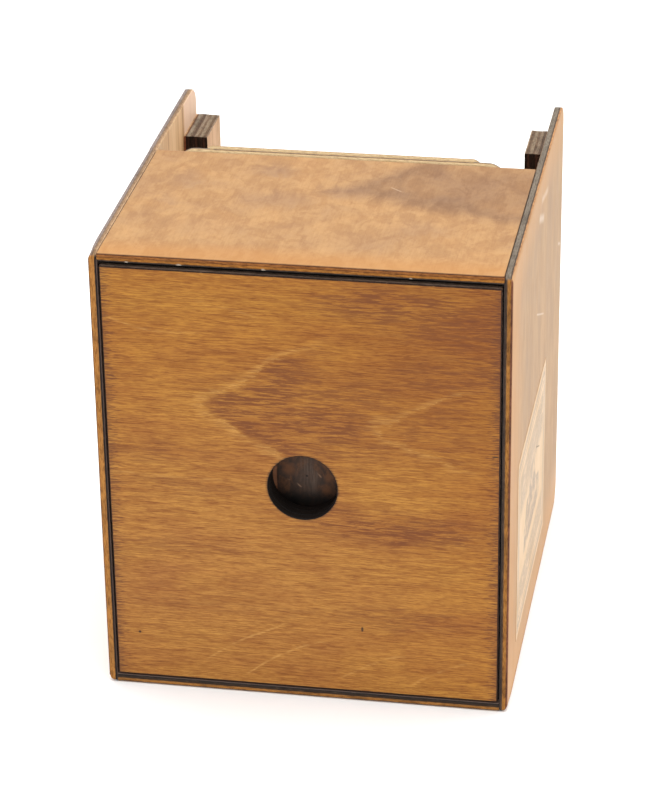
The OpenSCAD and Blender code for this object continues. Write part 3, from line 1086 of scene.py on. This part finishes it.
def twin_sheet(node, axis, face, look, scorch, seed, **shape):
    """A three-ply sheet with one material on both faces and a cut edge of its own."""
    edge = ply_edge(node + "_edge", axis, box_mm(node)[0][axis], look, None, scorch, seed)
    sheet_piece(node, axis, (face, edge, face), **shape)


def build_sides():
    radii = corners(FRONT_FOOT_R, REAR_CORNER_R, REAR_CORNER_R, FRONT_CORNER_R)
    inner = inner_side()
    left_face = side_veneer("left_veneer", 4)
    right_face = side_veneer("right_veneer", 3, RIGHT_SCUFFS)
    left_edge = ply_edge("left_side_edge", 0, BOX_LOW.x, "left_front", "left_top", 0.25, 2)
    right_edge = ply_edge("right_side_edge", 0, INNER_X, "right_front", "right_top", 0.4, 3)
    sheet_piece("left_side", 0, (left_face, left_edge, inner), radii, arris=0.5)
    sheet_piece("right_side", 0, (inner, right_edge, right_face), radii, arris=0.5)


def build_top_and_bottom():
    top_edge = ply_edge("top_panel_edge", 2, HEIGHT - PLY, "top", None, 0.2, 4, flecks=TOP_FLECKS)
    faces = (BLACK, top_edge, top_veneer())
    sheet_piece("top_panel", 2, faces, arris=front_edge_only(0.6, 0.15), wrap=WRAP_HIGH)
    bottom_edge = ply_edge("bottom_panel_edge", 2, 0, "bottom", None, 0.35, 5)
    underside = bare_veneer("underside_veneer", 12, "x", (0.86, 0.74, 0.62))
    faces = (underside, bottom_edge, bare_veneer("floor_veneer", 7, "x", painted=True))
    socket = ring((0, MOUNTS["tripod_socket"]["pos_m"][1] / MM), TRIPOD_HOLE_R, SOCKET_SIDES)
    sheet_piece("bottom_panel", 2, faces, holes=[socket], arris=front_edge_only(0.6, 0.2))


def build_front():
    faces = (front_veneer(), BLACK_STACK, BLACK)
    holes = [hole_ring()]
    sheet_piece("front_panel", 1, faces, holes=holes, arris=burnt_rim, wobble=0.12, wrap=WRAP_HIGH)
    for node, arris in (("front_doubler", 0.2), ("pinhole_block", 0.3)):
        sheet_piece(node, 1, (BLACK, BLACK_STACK, BLACK), holes=holes, arris=arris)


def build_rails():
    """Six rough strips: pale faces, scorched edges, and burnt brown where they meet the sides."""
    pink = bare_veneer("rail_veneer", 10, "z", (0.8, 0.68, 0.66))
    for side in ("left", "right"):
        turned = "" if side == "left" else "_mirrored"
        for number, layer in enumerate(("outer", "middle", "inner")):
            node = f"{side}_rail_{layer}"
            front = "rail_front_outer" if layer == "outer" else "rail_front"
            looks = (front + turned, f"rail_{layer}{turned}")
            edge = ply_edge(node + "_edge", 0, box_mm(node)[0].x, *looks, 0.35, 21 + number)
            faces = (pink, edge, pink)
            sheet_piece(node, 0, faces, arris=0.1, wobble=0.4, relief=0.12, wrap=WRAP_NONE)


def build_holder_track():
    holes = [window_hole()]
    twin_sheet("film_gate", 1, BLACK, "burnt", 0.5, 13, holes=holes, arris=0.2)
    cloth = (felt(),) * 3
    sheet_piece("light_seal", 1, cloth, holes=holes, arris=0.15, wobble=0.3, relief=0.03)
    for side in ("left", "right"):
        low, high = box_mm(f"{side}_guide")
        edge = ply_edge(f"{side}_guide_edge", 1, low.y, "track", None, 0.4, 14, high.y - low.y)
        sheet_piece(f"{side}_guide", 1, (BARE_UPRIGHT, edge, BARE_UPRIGHT), arris=0.2)
        twin_sheet(f"{side}_retaining_strip", 1, BARE_UPRIGHT, "track", 0.4, 15, arris=0.3)


def tops(radius):
    """Corner radii for a sheet whose two upper corners are rounded."""
    return corners(high_high=radius, low_high=radius)


def build_holder():
    low, high = box_mm("holder_front")
    edge = ply_edge("holder_front_edge", 1, low.y, "pale", None, 0.1, 16, high.y - low.y)
    faces = (BARE_UPRIGHT, edge, BARE_UPRIGHT)
    sheet_piece("holder_front", 1, faces, tops(HOLDER_CORNER_R), [window_hole()], arris=0.3)
    back_tops = tops(HOLDER_BACK_CORNER_R)
    twin_sheet("holder_back", 1, BARE_UPRIGHT, "pale", 0.1, 17, radii=back_tops, arris=0.3)
    spacers = {
        "left": corners(low_high=HOLDER_CORNER_R),
        "right": corners(high_high=HOLDER_CORNER_R),
        "bottom": corners(),
    }
    for place, radii in spacers.items():
        node = f"holder_{place}_spacer"
        twin_sheet(node, 1, BARE_UPRIGHT, "track", 0.3, 18, radii=radii, arris=0.1)
    board = (slide_board(),) * 3
    sheet_piece("dark_slide", 1, board, tops(SLIDE_CORNER_R), arris=0.12, wobble=0.03)


THREAD_PITCH = 1.27
THREAD_DEPTH = 0.7
NUT_PLAY = 0.05
NUT_SIDES = 48
NUT_ROW_MM = 0.16


def nut_rows(low, high, flange_z, bore_r):
    """Radius and height of each row of points round the nut. The radius is None in the thread."""
    root_r = bore_r + THREAD_DEPTH
    barrel_r = TRIPOD_HOLE_R - NUT_PLAY
    flange_r = (high.x - low.x) / 2
    outer = [
        (root_r, low.z),
        (barrel_r - 0.3, low.z),
        (barrel_r, low.z + 0.3),
        (barrel_r, flange_z + 0.01),
        (flange_r - 0.2, flange_z + 0.01),
        (flange_r, flange_z + 0.3),
        (flange_r, high.z - 0.4),
        (flange_r - 0.5, high.z),
        (root_r, high.z),
    ]
    count = max(2, round((high.z - low.z) / NUT_ROW_MM))
    return outer + [(None, high.z - (high.z - low.z) * index / count) for index in range(1, count)]


def threaded_nut(rows, centre, bore_r):
    """A ring-shaped mesh through the rows, with a screw thread where the radius is None."""
    mesh = bmesh.new()
    rings = []
    for radius, z in rows:
        row = []
        for index in range(NUT_SIDES):
            turn = index / NUT_SIDES
            phase = (z / THREAD_PITCH - turn) % 1
            thread_r = bore_r + THREAD_DEPTH * abs(2 * phase - 1)
            reach = thread_r if radius is None else radius
            angle = 2 * math.pi * turn
            at = Vector((centre[0] + reach * math.cos(angle), centre[1] + reach * math.sin(angle), z))
            row.append(mesh.verts.new(at * MM))
        rings.append(row)
    for index, row in enumerate(rings):
        next_row = rings[(index + 1) % len(rings)]
        for step in range(NUT_SIDES):
            following = (step + 1) % NUT_SIDES
            mesh.faces.new((row[step], row[following], next_row[following], next_row[step]))
    bmesh.ops.recalc_face_normals(mesh, faces=mesh.faces)
    return mesh


def build_tripod_socket():
    """The block and a barrel nut with a real screw thread inside it."""
    low, high = box_mm("tripod_nut")
    centre = (low.x + high.x) / 2, (low.y + high.y) / 2
    hole = ring(centre, TRIPOD_HOLE_R, SOCKET_SIDES)
    twin_sheet("tripod_block", 2, BARE_LEVEL, "pale", 0.4, 19, holes=[hole], arris=0.3)
    bore_r = MOUNTS["tripod_socket"]["dims"]["r_mm"]
    rows = nut_rows(low, high, box_mm("tripod_block")[1].z, bore_r)
    mesh = threaded_nut(rows, centre, bore_r)
    placed(finished("tripod_nut_threaded", mesh, [zinc()]), "tripod_nut")


def build_label():
    faces = (label_paper(),) * 3
    sheet_piece("side_label", 0, faces, (LABEL_CORNER_R,) * 4, arris=0.04, wobble=0.35, relief=0.0)


def dress_carried_nodes():
    """Finishes for the CAD pieces whose own shape is right."""
    finishes = {
        "pinhole_plate": blackened_brass(),
        "pinhole_retainer": bare_veneer("retainer_veneer", 11, "x", (0.32, 0.18, 0.15)),
        "film_sheet": film_emulsion(),
    }
    for node, material in finishes.items():
        data = frame["nodes"][node].data
        data.materials.clear()
        data.materials.append(material)


build_sides()
build_top_and_bottom()
build_front()
build_rails()
build_holder_track()
build_holder()
build_tripod_socket()
build_label()
dress_carried_nodes()


# -------- studio

AIM = Vector((0, 0, 0.09))
# The tent's strength rises with y, from dim on the side that the front faces to bright behind
TENT_Y = (-0.8, 0.5)
TENT_STRENGTH = (0.62, 1.12)
FLOOR_SIZE = 6
FLOOR_GAP_MM = 0.3


def soft_light(name, at, size, power):
    data = bpy.data.lights.new(name, "AREA")
    data.shape = "RECTANGLE"
    data.size, data.size_y = size
    data.energy = power
    light = bpy.data.objects.new(name, data)
    bpy.context.collection.objects.link(light)
    light.location = at
    light.rotation_mode = "QUATERNION"
    light.rotation_quaternion = (AIM - Vector(at)).to_track_quat("-Z", "Y")


def soft_sky():
    """A white tent, dimmer on the side that the bored front faces."""
    world = bpy.data.worlds.new("studio")
    bpy.context.scene.world = world
    world.use_nodes = True
    nodes, links = world.node_tree.nodes, world.node_tree.links
    split = nodes.new("ShaderNodeSeparateXYZ")
    links.new(nodes.new("ShaderNodeTexCoord").outputs["Generated"], split.inputs[0])
    shade = nodes.new("ShaderNodeMapRange")
    shade.interpolation_type = "SMOOTHSTEP"
    for number, socket in zip(TENT_Y + TENT_STRENGTH, list(shade.inputs)[1:5]):
        socket.default_value = number
    links.new(split.outputs[1], shade.inputs[0])
    links.new(shade.outputs[0], nodes["Background"].inputs["Strength"])
    nodes["Background"].inputs["Color"].default_value = (1, 1, 1, 1)


def pale_floor():
    mesh = bmesh.new()
    bmesh.ops.create_grid(mesh, x_segments=8, y_segments=8, size=FLOOR_SIZE)
    s = Shader("floor_paper")
    tooth = s.noise(s.mm, 0.02, 3)
    s.colour = s.ramp(tooth, [(0.3, (0.96,) * 3), (0.7, (0.98,) * 3)])
    floor = finished("floor", mesh, [s.finish(0.9)])
    floor.location.z = -FLOOR_GAP_MM * MM


bpy.context.scene.view_settings.view_transform = "Standard"
soft_sky()
soft_light("overhead", (0.1, -0.1, 1.5), (1.6, 1.6), 24)
soft_light("right_window", (1.4, 0.2, 0.5), (1.0, 1.0), 1.5)
pale_floor()
